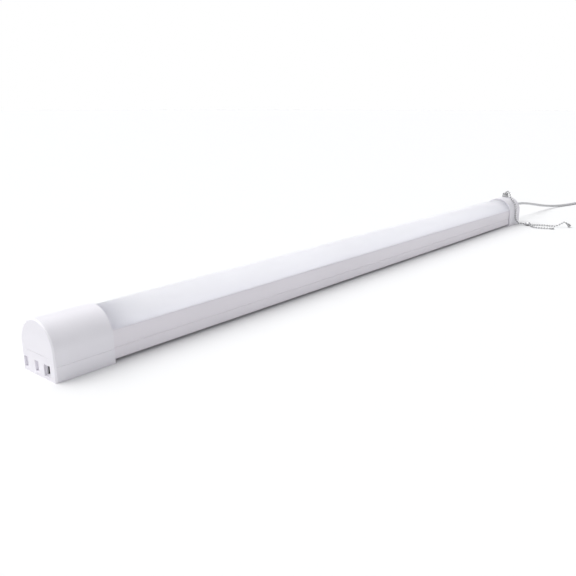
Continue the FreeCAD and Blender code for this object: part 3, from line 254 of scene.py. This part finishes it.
LOOKS = {
    "white_channel": material("white_channel", (0.863, 0.83, 0.88), 0.34, patch=0.012,
                              patch_size=90, grain=9, grain_size=1.4),
    "white_cap": material("white_cap", (0.88, 0.862, 0.91), 0.38, patch=0.012, patch_size=45,
                          grain=7, grain_size=0.5),
    # The lens's emission is a painted glow that stands in for light passing through the diffuser.
    "lens": material("lens", (0.93, 0.93, 0.95), 0.35, patch=0.008, patch_size=120, grain=4,
                     grain_size=0.7, stretch=(0.05, 1, 1), through=0.9,
                     painted_glow=(0.031, 0.031, 0.042)),
    "tray_white": material("tray_white", (0.93, 0.93, 0.94), 0.3, grain=6, grain_size=1.2),
    "board_white": material("board_white", (0.88, 0.88, 0.85), 0.4, grain=4, grain_size=0.4),
    "led_yellow": material("led_yellow", (0.9, 0.72, 0.2), 0.25, patch=0.08, patch_size=2),
    "driver_metal": material("driver_metal", (0.62, 0.63, 0.65), 0.35, metal=0.9, grain=5,
                             grain_size=0.5, stretch=(0.1, 1, 1)),
    "circuit_board": material("circuit_board", (0.03, 0.22, 0.1), 0.4, patch=0.2, patch_size=6),
    "component_black": material("component_black", (0.03, 0.03, 0.035), 0.45, grain=8),
    "black_plastic": material("black_plastic", (0.012, 0.012, 0.014), 0.5, grain=8),
    "brass": material("brass", (0.78, 0.56, 0.25), 0.3, metal=1.0, patch=0.06, patch_size=5,
                      grain=3, grain_size=0.3),
    "screw_steel": material("screw_steel", (0.55, 0.56, 0.58), 0.32, metal=1.0, patch=0.05,
                            patch_size=3, grain=4, grain_size=0.3),
    "nickel": material("nickel", (0.46, 0.46, 0.47), 0.16, metal=1.0, patch=0.06, patch_size=4,
                       grain=2, grain_size=0.4),
    "cord_grey": material("cord_grey", (0.62, 0.62, 0.635), 0.45, patch_size=30, grain=12,
                          grain_size=0.5),
    "wire_black": material("wire_black", (0.02, 0.02, 0.02), 0.4, grain=6),
    "wire_white": material("wire_white", (0.8, 0.8, 0.8), 0.4, grain=6),
    "wire_green": material("wire_green", (0.04, 0.35, 0.1), 0.4, grain=6),
    "switch_brown": material("switch_brown", (0.07, 0.04, 0.028), 0.5, patch=0.15, patch_size=4,
                             grain=10),
}


# ---------------------------------------------------------------- CAD nodes
def smooth(mesh, angle=SMOOTH_ANGLE):
    mesh.shade_smooth()
    mesh.set_sharp_from_angle(angle=math.radians(angle))


def add_bevel(node, name, width, segments, limit):
    bevel = node.modifiers.new(name, "BEVEL")
    bevel.width = width * MM
    bevel.segments = segments
    bevel.limit_method = limit
    return bevel


def dress_nodes():
    """Every CAD node gets its slot's surface, and softened edges where it shows."""
    for entry in frame["record"]["subparts"]:
        node = NODES[entry["node"]]
        node.data.materials.clear()
        node.data.materials.append(LOOKS[entry["material_slot"]])
        weld = node.modifiers.new("weld", "WELD")
        weld.merge_threshold = SAME_POINT
        smooth(node.data)
        if entry["node"] in RIM_WIDTHS:
            rim = add_bevel(node, "rim", RIM_WIDTHS[entry["node"]], RIM_SEGMENTS, "ANGLE")
            rim.angle_limit = math.radians(RIM_ANGLE)
            even = node.modifiers.new("even", "WEIGHTED_NORMAL")
            even.keep_sharp = True
    outlet_inner_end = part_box("outlet_cap_cover")[1].x
    cord_inner_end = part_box("cord_cap_cover")[0].x
    round_edges(NODES["outlet_cap_base"], Z_AXIS, 0.0, FOOT_ROUND)
    round_edges(NODES["cord_cap_base"], Z_AXIS, 0.0, FOOT_ROUND)
    round_edges(NODES["outlet_cap_cover"], X_AXIS, outlet_inner_end, END_ROUND)
    round_edges(NODES["cord_cap_cover"], X_AXIS, cord_inner_end, END_ROUND)


def round_edges(node, axis, level, width):
    """Rounds a cap's outer edges that lie in one plane across an axis.

    The CAD mesh has points of its own for each face, so an edge between two faces is there twice.
    Both get the same mark, by their place, before the weld joins them.
    """
    mesh = node.data
    spots = [node.matrix_world @ vertex.co for vertex in mesh.vertices]

    def place_of(corners):
        return frozenset(tuple(round(value, 6) for value in spots[i]) for i in corners)

    outer = set()
    for face in mesh.polygons:
        centre = node.matrix_world @ face.center
        outwards = Vector((0, centre.y, centre.z - CAP_CORE_HEIGHT))
        is_side = abs(face.normal[axis]) < 0.5
        if is_side and face.normal.dot(outwards) > 0:
            outer.update(place_of(key) for key in face.edge_keys)
    weights = mesh.attributes.new("bevel_weight_edge", "FLOAT", "EDGE")
    for edge in mesh.edges:
        in_plane = all(abs(spots[i][axis] - level) < SAME_LEVEL for i in edge.vertices)
        weights.data[edge.index].value = float(in_plane and place_of(edge.vertices) in outer)
    add_bevel(node, "edge_round", width, ROUND_SEGMENTS, "WEIGHT")
    after_weld = 1
    node.modifiers.move(len(node.modifiers) - 1, after_weld)


# ---------------------------------------------------------------- helpers for new pieces
def link(obj):
    bpy.context.scene.collection.objects.link(obj)
    return obj


def finish_piece(obj, slot, body, *replaced):
    """Gives a new piece its surface and the body that it rides on, and hides the nodes that it
    stands for.
    """
    obj.data.materials.clear()
    obj.data.materials.append(LOOKS[slot])
    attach(obj, body)
    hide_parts(*replaced)
    return obj


def mesh_object(name, build, angle=SMOOTH_ANGLE):
    """A mesh piece from a function that fills a bmesh."""
    mesh = bpy.data.meshes.new(name)
    work = bmesh.new()
    build(work)
    bmesh.ops.recalc_face_normals(work, faces=work.faces)
    work.to_mesh(mesh)
    work.free()
    smooth(mesh, angle)
    return link(bpy.data.objects.new(name, mesh))


def lathe(work, outline, place, segments=48, relief=None):
    """Turns (radius, height) corners about the Z axis of a place.

    relief, where given, tells how far a point stands out from its corner's radius, from the
    point's number in the turn and its height.
    """
    rings = []
    for radius, height in outline:
        if radius == 0:
            rings.append([work.verts.new(place @ Vector((0, 0, height * MM)))])
            continue
        ring = []
        for i in range(segments):
            angle = 2 * math.pi * i / segments
            reach = radius + (relief(i, height) if relief else 0)
            spot = Vector((reach * math.cos(angle), reach * math.sin(angle), height)) * MM
            ring.append(work.verts.new(place @ spot))
        rings.append(ring)
    for low, high in zip(rings, rings[1:]):
        for i in range(segments):
            j = (i + 1) % segments
            below = [low[i % len(low)], low[j % len(low)]]
            above = [high[j % len(high)], high[i % len(high)]]
            corners = list(dict.fromkeys(below + above))
            if len(corners) > 2:
                work.faces.new(corners)


def turned_piece(name, outline, place, slot, node, segments=48, relief=None, angle=SMOOTH_ANGLE):
    """A piece made by lathe() that stands for a node of the fixture."""
    piece = mesh_object(name, lambda work: lathe(work, outline, place, segments, relief), angle)
    return finish_piece(piece, slot, "fixture", node)


def facing(start, towards):
    """A place at start whose Z axis points along a direction."""
    turn = Vector((0, 0, 1)).rotation_difference(Vector(towards)).to_matrix().to_4x4()
    return Matrix.Translation(Vector(start) * MM) @ turn


def underside(node):
    """The middle of a node's underside, and the node's height."""
    low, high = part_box(node)
    middle = ((low.x + high.x) / 2 / MM, (low.y + high.y) / 2 / MM, low.z / MM)
    return middle, (high.z - low.z) / MM


def route_end(route):
    """The last point of a route, and its heading there."""
    return Vector(route[-1]), Vector(route[-1]) - Vector(route[-2])


def spline_curve(name, points, radius=0.0):
    """A NURBS curve with the route's points as its control points."""
    data = bpy.data.curves.new(name, "CURVE")
    data.dimensions = "3D"
    data.resolution_u = 10
    spline = data.splines.new("NURBS")
    spline.points.add(len(points) - 1)
    for spot, point in zip(spline.points, points):
        spot.co = (*(Vector(point) * MM), 1)
    spline.order_u = 3
    spline.use_endpoint_u = True
    data.bevel_depth = radius * MM
    data.bevel_resolution = 5
    data.use_fill_caps = radius > 0
    return link(bpy.data.objects.new(name, data))


def spline_path(points):
    """Points read from the route's NURBS curve, in metres."""
    curve = spline_curve("route_reading", points)
    bpy.context.view_layer.update()
    mesh = bpy.data.meshes.new_from_object(curve)
    path = [vertex.co.copy() for vertex in mesh.vertices]
    bpy.data.meshes.remove(mesh)
    data = curve.data
    bpy.data.objects.remove(curve)
    bpy.data.curves.remove(data)
    return path


def path_length(path):
    return sum((b - a).length for a, b in zip(path, path[1:]))


def spots_along(path, first, spacing):
    """Evenly spaced places on a path, each with the heading there."""
    spots, due, done = [], first, 0.0
    for a, b in zip(path, path[1:]):
        step = (b - a).length
        while step > 0 and due <= done + step:
            spots.append((a.lerp(b, (due - done) / step), (b - a).normalized()))
            due += spacing
        done += step
    return spots


# ---------------------------------------------------------------- bead chains
def bead_outline():
    """A ball that is cut flat at its two holes."""
    half = BEAD_DIAMETER / 2
    flat = half * BEAD_FLAT
    outline = []
    for step in range(BEAD_STEPS + 1):
        angle = math.pi * step / BEAD_STEPS
        radius = BEAD_HOLE if step in (0, BEAD_STEPS) else half * math.sin(angle)
        outline.append((radius, max(-flat, min(flat, -half * math.cos(angle)))))
    return outline


def bead_chain(name, route):
    """Beads threaded on short wire links, along the route's curve."""
    path = spline_path(route)
    total = path_length(path)
    count = int((total - BEAD_DIAMETER * MM) / (BEAD_PITCH * MM)) + 1
    pitch = (total - BEAD_DIAMETER * MM) / (count - 1)
    spots = spots_along(path, BEAD_DIAMETER * MM / 2, pitch)[:count]
    bead = bead_outline()
    hold = BEAD_DIAMETER / 2 * LINK_HOLD

    def build(work):
        for place, heading in spots:
            lathe(work, bead, facing(place / MM, heading), BEAD_SEGMENTS)
        for (a, _), (b, _) in zip(spots, spots[1:]):
            gap = (b - a).length / MM
            wire = [(0, hold), (LINK_RADIUS, hold), (LINK_WAIST, gap / 2),
                    (LINK_RADIUS, gap - hold), (0, gap - hold)]
            lathe(work, wire, facing(a / MM, b - a), LINK_SEGMENTS)

    return mesh_object(name, build, 40), path


def make_chains():
    """The pull chain, which bends between the switch and the floor, and its two loose runs."""
    pull, path = bead_chain("pull_chain_beads", PULL_ROUTE)
    pull.data.materials.append(LOOKS["nickel"])
    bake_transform(pull)
    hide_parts("pull_chain")
    connector = make_connector()
    bell = make_bell()
    run, path = bead_chain("chain_extension_beads", BELL_ROUTE)
    finish_piece(run, "nickel", "fixture", "chain_extension")
    end = make_tail_connector()
    run, path = bead_chain("chain_tail_beads", TAIL_ROUTE)
    finish_piece(run, "nickel", "fixture", "chain_tail")


def make_connector():
    """The crimped sleeve that joins the pull chain to its two loose runs."""
    start = Vector(PULL_ROUTE[-1]) + Vector((0, -0.3, 0))
    outline = [(0, 0.5), (1.2, 0.5), (1.3, 0.0), (2.3, 0.0), (2.7, 0.4), (2.75, 3.2), (3.0, 4.2),
               (3.9, 5.6), (4.15, 6.6), (4.2, 10.6), (4.0, 11.6), (3.5, 11.95), (3.1, 11.7),
               (2.9, 10.4), (0, 10.4)]
    return turned_piece("chain_connector_sleeve", outline, facing(start, (0, -1, 0)), "nickel",
                        "chain_connector")


def make_bell():
    """The bell-shaped pull on the chain's end, open below."""
    outline = [(0, 0.1), (1.6, 0.1), (2.2, 0.5), (2.45, 1.4), (2.3, 2.3), (2.45, 3.1), (2.85, 4.6),
               (3.1, 6.6), (3.22, 8.4), (3.38, 9.4), (3.38, 10.3), (3.2, 10.45), (2.9, 10.2),
               (2.75, 8.2), (2.4, 5.0), (0, 4.2)]
    return turned_piece("chain_bell_pull", outline, facing(*route_end(BELL_ROUTE)), "nickel",
                        "chain_bell")


def make_tail_connector():
    """The small clasp on the shorter run's end."""
    outline = [(0, 0.1), (1.4, 0.1), (1.8, 0.5), (2.05, 1.6), (2.08, 3.0), (1.85, 3.6), (1.85, 3.9),
               (2.08, 4.5), (2.05, 6.0), (1.8, 7.0), (1.4, 7.4), (0, 7.4)]
    return turned_piece("tail_connector_clasp", outline, facing(*route_end(TAIL_ROUTE)), "nickel",
                        "tail_connector")


# ---------------------------------------------------------------- nut and nipple
def make_nut():
    """The knurled ring nut that clamps the nipple to the cap."""
    base, tall = underside("switch_nut")
    knurl, bore, segments = 6.75, 4.8, 120
    outline = [(bore, 0.0), (knurl - 0.4, 0.0), (knurl, 0.4), (knurl, tall - 0.7),
               (knurl - 0.7, tall), (5.2, tall), (bore, tall - 0.4), (bore, 0.0)]

    def ridge(i, height):
        return 0.22 if i % 4 < 2 and 0.3 < height < tall - 0.3 else 0.0

    turned_piece("knurled_nut", outline, facing(base, (0, 0, 1)), "nickel", "switch_nut",
                 segments, ridge)


def make_nipple():
    """The switch's bored nipple, with a rounded lip that the chain runs over."""
    base, tall = underside("switch_nipple")
    bore = 2.6
    outline = [(bore, 0.0), (4.4, 0.0), (4.7, 0.3), (4.7, tall - 3.9), (5.0, tall - 3.75),
               (6.1, tall - 3.6), (6.4, tall - 3.3), (6.4, tall - 2.3), (6.15, tall - 2.1),
               (6.15, tall - 1.7), (6.4, tall - 1.5), (6.35, tall - 0.8), (6.0, tall - 0.25),
               (5.4, tall), (4.0, tall), (3.3, tall - 0.2), (2.8, tall - 0.7),
               (bore, tall - 1.5), (bore, 0.0)]
    turned_piece("bored_nipple", outline, facing(base, (0, 0, 1)), "nickel", "switch_nipple")


# ---------------------------------------------------------------- cap screws
def make_cap_screws(node, name):
    """Two pan-head screws with cross recesses, their heads down in the lower shell's recesses."""
    low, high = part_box(node)
    head, shank, segments = 2.8, 1.5, 48
    arm, slot, depth, floor_share = 1.55, 0.38, 0.95, 0.7
    thread, pitch, point = 0.3, 1.0, 3.5
    middle = (low.x + high.x) / 2 / MM
    reach = (high.y - low.y) / 2 / MM - head
    tall = (high.z - low.z) / MM

    def recess(i, height):
        """The cross's outline at the head's face, and smaller at the recess's floor."""
        if height not in (0.0, depth):
            return 0.0
        angle = (2 * math.pi * i / segments + math.pi / 4) % (math.pi / 2) - math.pi / 4
        cross = min(arm / math.cos(angle), slot / max(abs(math.sin(angle)), 1e-6))
        return cross * (1.0 if height == 0.0 else floor_share)

    outline = [(0, depth + 0.2), (0.001, depth), (0.001, 0.0), (1.9, 0.02), (2.35, 0.15),
               (2.7, 0.45), (head, 0.8), (head, 1.4), (2.7, 1.5), (shank, 1.5)]
    turn = 2.0
    while turn < tall - point:
        outline += [(shank, turn), (shank - thread, turn + 0.45), (shank - thread, turn + 0.55)]
        turn += pitch
    outline += [(shank - 0.1, turn), (0.2, tall - 0.05), (0, tall)]

    def build(work):
        for side in (-1, 1):
            place = facing((middle, side * reach, low.z / MM), (0, 0, 1))
            lathe(work, outline, place, segments, recess)

    finish_piece(mesh_object(name, build, 35), "screw_steel", "fixture", node)


# ---------------------------------------------------------------- cord, grip and plug
def make_cord():
    """The power cord in one unbroken line: the free run, the coil and its end in the plug."""
    coil = coil_points()
    end = Vector(coil[-1])
    half_way = end - Vector((PLUG_LEAD / 2, 0, 0))
    at_plug = end - Vector((PLUG_LEAD, 0, 0))
    route = CORD_ROUTE + coil + [tuple(half_way), tuple(at_plug)]
    cord = spline_curve("power_cord_jacket", route, CORD_DIAMETER / 2)
    finish_piece(cord, "cord_grey", "fixture", "power_cord", "power_cord_coil")
    grip = make_grip()
    plug = make_plug(at_plug)


def make_grip():
    """The ribbed strain relief, from its flange inside the end face to its thin tip."""
    low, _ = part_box("cord_grip")
    start = (low.x / MM, 0, CORD_ROUTE[0][2])
    bore, flange, root, tip = 3.02, 7.6, 6.0, 4.05
    outline = [(bore, 0.0), (flange, 0.0), (flange, 1.9), (6.15, 1.95), (6.15, 5.0), (6.4, 5.4),
               (6.4, 6.6), (root, 7.0)]
    first, last, ribs = 7.4, 32.6, 7
    step = (last - first) / ribs
    for i in range(ribs):
        z = first + step * i
        reach = root - (root - tip) * (z - first) / (last - first)
        outline += [(reach, z), (reach - 0.1, z + step * 0.62), (reach - 0.85, z + step * 0.68),
                    (reach - 0.9, z + step * 0.94)]
    outline += [(tip, last), (4.0, 33.7), (3.7, 34.15), (bore, 34.2), (bore, 0.0)]
    return turned_piece("cord_strain_relief", outline, facing(start, (1, 0, 0)), "cord_grey",
                        "cord_grip", segments=40, angle=50)


def make_plug(at):
    """A moulded three-pin plug: round at the cord, flat-sided with finger ridges at the face."""
    low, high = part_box("plug_body")
    middle = (low.z + high.z) / 2 / MM
    face = low.x / MM
    sections = [
        # from the face back: x, half width, half height, centre height, squareness
        (face, 11.2, 9.7, middle, 5), (face + 0.6, 12.1, 10.6, middle, 5),
        (face + 1.6, 12.45, 10.9, middle, 5), (face + 4.6, 12.45, 10.9, middle, 5),
        (face + 5.2, 11.7, 10.2, middle, 5), (face + 5.8, 11.7, 10.2, middle, 5),
        (face + 6.4, 12.3, 10.8, middle, 5), (face + 9.0, 12.2, 10.7, middle, 4.6),
        (face + 11.5, 11.6, 10.3, middle, 4.2), (face + 14.5, 10.2, 9.6, middle, 3.6),
        (face + 17.5, 8.2, 8.3, middle, 3.0), (face + 20.0, 6.6, 6.9, middle - 0.4, 2.6),
        (face + 22.0, 5.6, 5.8, at.z + 0.2, 2.2), (face + 24.0, 5.0, 5.0, at.z, 2),
        (face + 24.4, 4.4, 4.4, at.z, 2), (face + 25.2, 4.4, 4.4, at.z, 2),
        (face + 25.6, 4.9, 4.9, at.z, 2), (face + 26.6, 4.7, 4.7, at.z, 2),
        (face + 27.0, 4.2, 4.2, at.z, 2), (face + 27.8, 4.2, 4.2, at.z, 2),
        (face + 28.2, 4.6, 4.6, at.z, 2), (face + 29.6, 4.2, 4.2, at.z, 2),
        (face + 29.95, 3.6, 3.6, at.z, 2),
    ]
    segments = 56

    def build(work):
        rings = []
        for x, wide, tall, centre, power in sections:
            ring = []
            for i in range(segments):
                angle = 2 * math.pi * (i + 0.5) / segments
                across, up = math.cos(angle), math.sin(angle)
                y = wide * math.copysign(abs(across) ** (2 / power), across)
                z = tall * math.copysign(abs(up) ** (2 / power), up)
                ring.append(work.verts.new(Vector((x, at.y + y, centre + z)) * MM))
            rings.append(ring)
        for a, b in zip(rings, rings[1:]):
            for i in range(segments):
                j = (i + 1) % segments
                work.faces.new((a[i], a[j], b[j], b[i]))
        work.faces.new(rings[0])
        work.faces.new(rings[-1])

    piece = mesh_object("moulded_plug", build, 35)
    return finish_piece(piece, "cord_grey", "fixture", "plug_body")


# ---------------------------------------------------------------- camera, floor and light
def make_camera(scene):
    camera = link(bpy.data.objects.new("camera", bpy.data.cameras.new("camera")))
    camera.location = CAMERA_PLACE
    camera.rotation_euler = (math.pi / 2 - CAMERA_DIP, 0, CAMERA_HEADING - math.pi / 2)
    camera.data.sensor_width = CAMERA_SENSOR
    camera.data.lens = CAMERA_LENS
    camera.data.clip_start = CAMERA_NEAR
    camera.data.clip_end = CAMERA_FAR
    scene.camera = camera


def make_floor():
    def plane(work):
        work.faces.new([work.verts.new((x * FLOOR_REACH, y * FLOOR_REACH, 0))
                        for x, y in ((-1, -1), (1, -1), (1, 1), (-1, 1))])

    floor = mesh_object("floor", plane)
    paper = bpy.data.materials.new("paper_floor")
    paper.use_nodes = True
    shader = paper.node_tree.nodes["Principled BSDF"]
    shader.inputs["Base Color"].default_value = (*FLOOR_COLOR, 1)
    shader.inputs["Roughness"].default_value = 0.9
    shader.inputs["Specular IOR Level"].default_value = 0.1
    floor.data.materials.append(paper)


def make_world(scene):
    """The camera sees white, gloss mirrors a plain room, and the rest is a soft fill light."""
    world = bpy.data.worlds.new("studio")
    scene.world = world
    world.use_nodes = True
    tree = world.node_tree
    tree.nodes.clear()
    ray = new_node(tree, "ShaderNodeLightPath")
    seen = new_node(tree, "ShaderNodeBackground", Color=(*WHITE, 1), Strength=1.0)
    fill = new_node(tree, "ShaderNodeBackground", Color=(*FILL_COLOR, 1), Strength=FILL_STRENGTH)
    place = new_node(tree, "ShaderNodeTexCoord")
    split = new_node(tree, "ShaderNodeSeparateXYZ", Vector=place.outputs["Generated"])
    stops = [(height, (tone, tone, tone)) for height, tone in ROOM_TONES]
    room = color_ramp(tree, split.outputs["Z"], stops)
    mirrored = new_node(tree, "ShaderNodeBackground", Color=room.outputs["Color"], Strength=1.0)
    for_mirrors = mix_shaders(tree, ray.outputs["Is Glossy Ray"], fill, mirrored)
    for_camera = mix_shaders(tree, ray.outputs["Is Camera Ray"], for_mirrors, seen)
    new_node(tree, "ShaderNodeOutputWorld", Surface=for_camera.outputs[0])


def make_key():
    """One wide sun, from above and from the camera's left."""
    key = link(bpy.data.objects.new("key", bpy.data.lights.new("key", "SUN")))
    key.data.energy = KEY_ENERGY
    key.data.angle = math.radians(KEY_ANGLE)
    key.rotation_euler = Vector(KEY_TOWARDS).to_track_quat("-Z", "Y").to_euler()


def make_stage():
    scene = bpy.context.scene
    scene.view_settings.view_transform = "Standard"
    make_camera(scene)
    make_floor()
    make_world(scene)
    make_key()


# ---------------------------------------------------------------- build
make_stage()
dress_nodes()
make_cord()
make_chains()
make_nut()
make_nipple()
make_cap_screws("outlet_cap_screws", "outlet_cap_pan_screws")
make_cap_screws("cord_cap_screws", "cord_cap_pan_screws")
